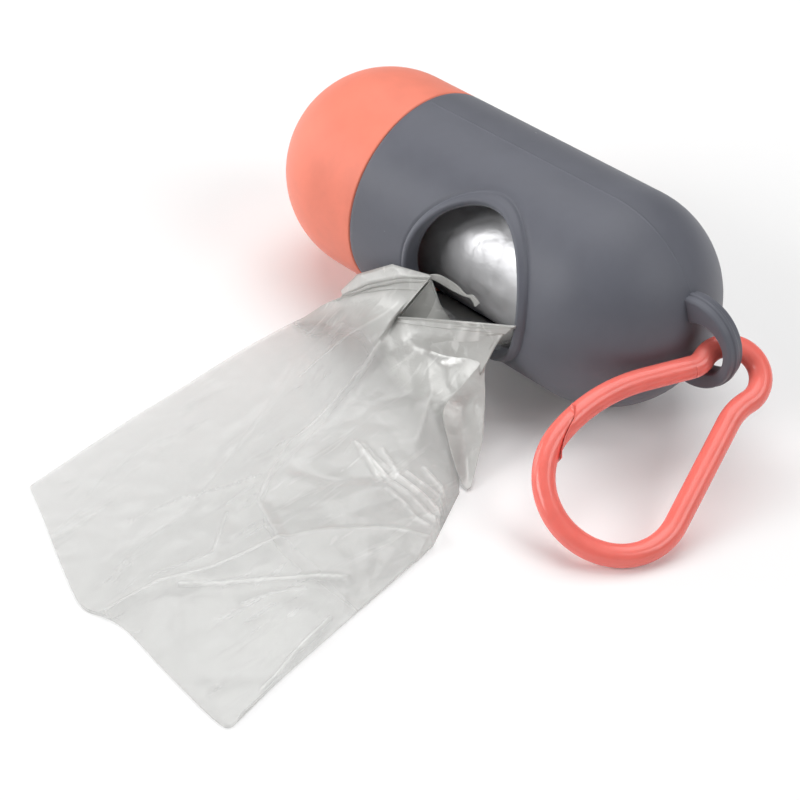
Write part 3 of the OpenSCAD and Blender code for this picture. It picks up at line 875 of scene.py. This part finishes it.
def distance_to_line(points, line):
    """Distance in plan from points to a broken line."""
    best = np.full(len(points), 1e9)
    for a, b in zip(line, line[1:]):
        a, b = np.array(a), np.array(b)
        d = b - a
        t = np.clip(((points - a) @ d) / (d @ d), 0, 1)
        best = np.minimum(best, np.linalg.norm(points - a - t[:, None] * d, axis=1))
    return best


def facets(x, y, size, seed):
    """Height of crumpled film: nearly flat facets that meet in valleys, 0 to about 1."""
    near = noise.voronoi(Vector((x / size, y / size, seed)))[0]
    return min(near[1] - near[0], 1.0)


def crumpled(grid, along, height):
    """Adds the creases and the film's facets away from the lip; returns the painted highlights: a
    whiter line along each fold, and painted light under the shoulder.
    """
    flat = grid.reshape(-1, 3).copy()
    plan = flat[:, :2]
    lift = np.zeros(len(flat))
    white = np.zeros(len(flat))
    for line, peak, width, painted_highlight in CREASES:
        d = distance_to_line(plan, line)
        lift += peak * np.maximum(1 - d / width, 0) ** 1.3
        # A thin whiter line along the ridge: a painted highlight.
        white = np.maximum(white, painted_highlight * np.exp(-(d / 0.34) ** 2))
    turned = plan @ np.array([[0.9, 0.44], [-0.44, 0.9]])
    broad = np.array([facets(x, y * 0.55, 15.0, 2.4) for x, y in turned])
    small = np.array([facets(x, y * 0.7, 6.5, 8.1) for x, y in turned])
    swell = np.array([noise.noise(Vector((x * 0.05, y * 0.03, 5.2))) for x, y in plan])
    lift += height / MM * ((broad - 0.4) * 4.5 + (small - 0.4) * 1.1 + swell * 2.0)
    ease = np.repeat(np.clip((np.asarray(along) - 4.6) / 2.0, 0, 1), grid.shape[1])
    above = flat[:, 2] + lift * ease - FLOOR - FLOOR_GAP
    flat[:, 2] = FLOOR + FLOOR_GAP + (above + np.sqrt(above ** 2 + 0.15)) / 2
    # Under the shoulder the film is painted whiter: painted light on a patch that lies in the
    # shoulder's shade.
    under = np.repeat(np.abs(np.asarray(along) - 1.5) < 0.5, grid.shape[1])
    return flat.reshape(grid.shape), np.maximum(white, 0.4 * under)


def closed_sheet(upper, lower):
    """Points and faces of two layers that meet all round."""
    rows, n = upper.shape[:2]
    points = np.concatenate([upper.reshape(-1, 3), lower.reshape(-1, 3)])
    below = rows * n
    faces = []
    for i in range(rows - 1):
        for j in range(n - 1):
            a = i * n + j
            faces.append((a, a + n, a + n + 1, a + 1))
            faces.append((below + a, below + a + 1, below + a + n + 1, below + a + n))
        a, c = i * n, i * n + n - 1
        faces.append((a, below + a, below + a + n, a + n))
        faces.append((c, c + n, below + c + n, below + c))
    for j in range(n - 1):
        a, c = j, (rows - 1) * n + j
        faces.append((a, a + 1, below + a + 1, below + a))
        faces.append((c, below + c, below + c + 1, c + 1))
    return points, faces


def thin_sheet(grid, thick):
    """A single layer of film with its thickness, drawn far thicker than the real 0.015 mm."""
    du = np.gradient(grid, axis=1)
    dv = np.gradient(grid, axis=0)
    normal = np.cross(dv, du)
    normal /= np.maximum(np.linalg.norm(normal, axis=2, keepdims=True), 1e-9)
    return closed_sheet(grid + normal * thick / 2, grid - normal * thick / 2)


def lower_layer(upper, along, across):
    """The bag's lower layer: close under the upper one at the lip, then flat on the floor."""
    t = np.asarray(along)[:, None]
    u = np.asarray(across)[None, :] / across[-1]
    drop = np.interp(t, [0, 1, 2, 4, 5, 6, 7, 9], [1.2, 1.2, 0.9, 0.9, 1.6, 2.6, 4.0, 8.0])
    edge = np.clip(10 * u * (1 - u), 0.06, 1)
    lower = upper.copy()
    lower[:, :, 2] -= drop * edge
    ends = np.array([np.interp(np.asarray(along), [r for r, _ in LOWER_EDGE],
                               [p[k] for _, p in LOWER_EDGE]) for k in range(3)]).T
    shown = np.clip((t - 4.5) / 0.8, 0, 1) * np.clip((12.2 - t) / 0.6, 0, 1)
    share = np.clip((u - 0.7) / 0.3, 0, 1) ** 1.5 * shown
    lower += share[:, :, None] * (ends - upper[:, -1])[:, None, :]
    lower[:, :, 2] = np.maximum(lower[:, :, 2], FLOOR + 0.02)
    lower[:, :, 2] = np.minimum(lower[:, :, 2], upper[:, :, 2] - 0.05)
    return lower


def cover_of(points):
    """How much of the light one skin stops.

    Folded close at the lip the film is nearly opaque, and it is doubled right of the long fold.
    Towards the far end and the left side it is made clearer, and so lighter over the white card:
    painted light, with the film near the capsule kept darker in place of the capsule's shade.
    Inside the window it is made nearly clear so that it shows dark: painted shade, for the shade
    it hangs in there.
    """
    x, y = points.T[:2]
    fold = [(-76.0, 41.6), (-72.5, 32.0), (-65.6, 27.8), (-47.6, 23.4), (-25.6, 18.2)]
    doubled = np.clip((x - np.interp(y, *np.array(fold).T)) / 1.2, 0, 1)
    doubled *= np.clip((y + 78) / 3, 0, 1)
    # Clearer towards the far end and the left side: painted light, the film near the capsule
    # staying darker in place of its shade.
    far = np.clip((-30 - y) / 75, 0, 1)
    left = np.clip((30 - x) / 40, 0, 1)
    lip = np.clip((y + 31 + 5 * np.clip((x - 8) / 22, 0, 1)) / 5, 0, 1)
    cover = 0.29 - 0.03 * far - 0.09 * left + 0.08 * doubled
    cover += (0.84 - cover) * lip
    # Nearly clear inside the window so that it shows dark: painted shade.
    inside = np.clip((y + 21.6) / 1.6, 0, 1)
    return cover + (0.14 - cover) * inside


def bag(settings, material):
    """The pulled-out bag: a folded tube of film, its gusset's flap and a torn strip."""
    along = np.concatenate([np.linspace(0, LIP_ROWS, 17)[:-1],
                            np.linspace(LIP_ROWS, len(FILM_ROWS) - 1, settings.rows)])
    across = np.linspace(0, 6, settings.columns + 1)
    upper = net_grid(FILM_ROWS, along, across,
                     lambda t: 1.0 if t < LIP_ROWS + 0.5 or t > 11.0 else 0.0,
                     lambda t: float(np.interp(t, [4, 9], [1.0, 0.2])))
    upper, white = crumpled(upper, along, settings.wrinkle)
    points, faces = closed_sheet(upper, lower_layer(upper, along, across))
    # The crease attribute holds painted highlight: the whiter folds and the lighter patch under
    # the shoulder.
    crease = np.concatenate([white, np.zeros(len(white))])
    flap = net_grid(FLAP_ROWS, np.linspace(0, 6, 60), np.linspace(0, 2, 24),
                    lambda t: 0.0, lambda t: 0.3)
    strip = net_grid(STRIP_ROWS, np.linspace(0, 6, 48), np.linspace(0, 1, 8),
                     lambda t: 0.0, lambda t: 1.0)
    for grid in (flap, strip):
        more, quads = thin_sheet(grid, 0.08)
        faces += [tuple(k + len(points) for k in q) for q in quads]
        points = np.concatenate([points, more])
        crease = np.concatenate([crease, np.full(len(more), 0.05)])
    cover = cover_of(points)
    gusset = len(flap.reshape(-1, 3)) * 2
    torn = len(strip.reshape(-1, 3)) * 2
    cover[-gusset - torn:-torn] = np.maximum(cover[-gusset - torn:-torn], FLAP_COVER)
    cover[-torn:] = STRIP_COVER
    piece = new_piece("bag_film", points, faces, material, None,
                      values={"cover": cover, "crease": crease})
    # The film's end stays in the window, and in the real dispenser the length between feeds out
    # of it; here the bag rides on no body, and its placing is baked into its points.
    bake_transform(piece)
    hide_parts("pulled_bag")


# ---- Stage ----
CAMERA_AT = (237.2, -233.3, 214.2)
CAMERA_RIGHT = (0.69159, 0.72228, -0.00392)
CAMERA_UP = (-0.45005, 0.43517, 0.77979)
CAMERA_BACK = (0.56494, -0.53753, 0.62602)
FOCAL_PX = 1982.35
PICTURE_PX = 800.0
LAMP_TARGET = (25.0, -25.0, -10.0)
FLOOR_HALF, FLOOR_DROP = 3.0, 0.0001  # metres; just below the feet, so that nothing coincides
FLOOR_LIFT, WORLD_STRENGTH = 0.08, 0.06
LAMPS = [("key_softbox", (-0.5, -0.92, 0.55), (0.7, 0.5), 6.8),
         ("overhead_softbox", (-0.2, 0.25, 1.05), (1.0, 1.0), 8.8),
         ("right_card", (0.9, 0.3, 0.75), (0.6, 0.6), 4.6),
         ("left_card", (-1.0, -0.35, 0.3), (0.5, 0.5), 2.4)]


def set_camera():
    data = bpy.data.cameras.new("Camera")
    data.sensor_width = 36.0
    data.lens = FOCAL_PX / PICTURE_PX * data.sensor_width
    data.clip_start, data.clip_end = 0.01, 20.0
    cam = bpy.data.objects.new("Camera", data)
    turn = Matrix((CAMERA_RIGHT, CAMERA_UP, CAMERA_BACK)).transposed().to_4x4()
    cam.matrix_world = Matrix.Translation(Vector(place(CAMERA_AT))) @ turn
    bpy.context.scene.collection.objects.link(cam)
    bpy.context.scene.camera = cam


def set_lamp(name, at, size, power):
    """A white softbox at a place in metres, turned to the object, with its power in watts."""
    data = bpy.data.lights.new(name, "AREA")
    data.shape = "RECTANGLE"
    data.size, data.size_y = size
    data.energy = power
    obj = bpy.data.objects.new(name, data)
    obj.location = at
    target = Vector(place(LAMP_TARGET))
    obj.rotation_euler = (target - Vector(at)).to_track_quat("-Z", "Y").to_euler()
    bpy.context.scene.collection.objects.link(obj)


def floor_material():
    """Seamless white card. What the lens sees of it is lifted a little, and shadows stay."""
    mat, tree, out = new_material("white_card")
    card = add_node(tree, "ShaderNodeBsdfDiffuse", values={"Color": srgb("#f4f4f4")})
    path = add_node(tree, "ShaderNodeLightPath")
    seen = sum_node(tree, "MAXIMUM", path.outputs["Is Camera Ray"],
                    path.outputs["Is Transmission Ray"])
    seen = sum_node(tree, "MAXIMUM", seen, path.outputs["Is Glossy Ray"])
    glow = add_node(tree, "ShaderNodeEmission",
                    values={"Strength": sum_node(tree, "MULTIPLY", seen, FLOOR_LIFT)})
    both = add_node(tree, "ShaderNodeAddShader",
                    values={0: card.outputs[0], 1: glow.outputs[0]})
    tree.links.new(both.outputs[0], out.inputs[0])
    return mat


def set_world():
    world = bpy.data.worlds.new("Studio")
    world.use_nodes = True
    sky = world.node_tree.nodes["Background"]
    sky.inputs["Color"].default_value = srgb("#ffffff")
    sky.inputs["Strength"].default_value = WORLD_STRENGTH
    bpy.context.scene.world = world


# ---- Operators and panel ----
class DISPENSER_OT_capsule(bpy.types.Operator):
    """Builds the capsule's body, lug and cap"""
    bl_idname = "dispenser.capsule"
    bl_label = "Capsule"

    def execute(self, context):
        settings = context.scene.dispenser_capsule
        grey = silicone("moulded_silicone_grey", tuple(settings.shell_colour), 0.5, 0.7)
        coral = silicone("moulded_silicone_coral", tuple(settings.cap_colour), 0.52, 0.25)
        capsule_body(settings, grey)
        lug(grey)
        end_cap(settings, coral)
        return {"FINISHED"}


class DISPENSER_OT_roll(bpy.types.Operator):
    """Builds the wound film and finishes the board core"""
    bl_idname = "dispenser.roll"
    bl_label = "Bag roll"

    def execute(self, context):
        wound_film(wound_polythene("wound_polythene", srgb("#e0e0e2")))
        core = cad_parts["roll_core"]
        core.data.materials.clear()
        core.data.materials.append(greyboard("wound_greyboard"))
        return {"FINISHED"}


class DISPENSER_OT_clip(bpy.types.Operator):
    """Builds the snap clip's frame and gate"""
    bl_idname = "dispenser.clip"
    bl_label = "Clip"

    def execute(self, context):
        settings = context.scene.dispenser_clip
        clip(settings, acetal("moulded_acetal_coral", tuple(settings.colour)))
        return {"FINISHED"}


class DISPENSER_OT_bag(bpy.types.Operator):
    """Builds the bag that is pulled out of the window"""
    bl_idname = "dispenser.bag"
    bl_label = "Pulled bag"

    def execute(self, context):
        settings = context.scene.dispenser_film
        bag(settings, thin_polythene("blown_polythene", tuple(settings.colour)))
        return {"FINISHED"}


class DISPENSER_OT_stage(bpy.types.Operator):
    """Sets the floor, the lamps and the camera"""
    bl_idname = "dispenser.stage"
    bl_label = "Stage"

    def execute(self, context):
        mesh = bpy.data.meshes.new("studio_floor")
        mesh.from_pydata([(x * FLOOR_HALF, y * FLOOR_HALF, -FLOOR_DROP)
                          for x, y in ((-1, -1), (1, -1), (1, 1), (-1, 1))],
                         [], [(0, 1, 2, 3)])
        mesh.materials.append(floor_material())
        floor = bpy.data.objects.new("studio_floor", mesh)
        context.scene.collection.objects.link(floor)
        set_world()
        for lamp in LAMPS:
            set_lamp(*lamp)
        set_camera()
        context.scene.view_settings.view_transform = "Standard"
        return {"FINISHED"}


class DISPENSER_PT_panel(bpy.types.Panel):
    bl_idname = "DISPENSER_PT_panel"
    bl_label = "Waste bag dispenser"
    bl_space_type = "VIEW_3D"
    bl_region_type = "UI"
    bl_category = "Dispenser"

    def draw(self, context):
        for group, operators in (("capsule", ["capsule"]), ("film", ["roll", "bag"]),
                                 ("clip", ["clip"])):
            settings = getattr(context.scene, "dispenser_" + group)
            box = self.layout.box()
            for key in settings.__annotations__:
                box.prop(settings, key)
            for name in operators:
                box.operator("dispenser." + name)
        self.layout.operator("dispenser.stage")


GROUPS = {"dispenser_capsule": DispenserCapsule, "dispenser_clip": DispenserClip,
          "dispenser_film": DispenserFilm}
CLASSES = [*GROUPS.values(), DISPENSER_OT_capsule, DISPENSER_OT_roll, DISPENSER_OT_clip,
           DISPENSER_OT_bag, DISPENSER_OT_stage, DISPENSER_PT_panel]


def register():
    for cls in CLASSES:
        bpy.utils.register_class(cls)
    for key, group in GROUPS.items():
        setattr(bpy.types.Scene, key, PointerProperty(type=group))


def unregister():
    for key in GROUPS:
        delattr(bpy.types.Scene, key)
    for cls in reversed(CLASSES):
        bpy.utils.unregister_class(cls)


def main():
    register()
    bpy.ops.dispenser.stage()
    bpy.ops.dispenser.capsule()
    bpy.ops.dispenser.roll()
    bpy.ops.dispenser.clip()
    bpy.ops.dispenser.bag()
    bpy.context.view_layer.update()


if __name__ == "__main__":
    main()
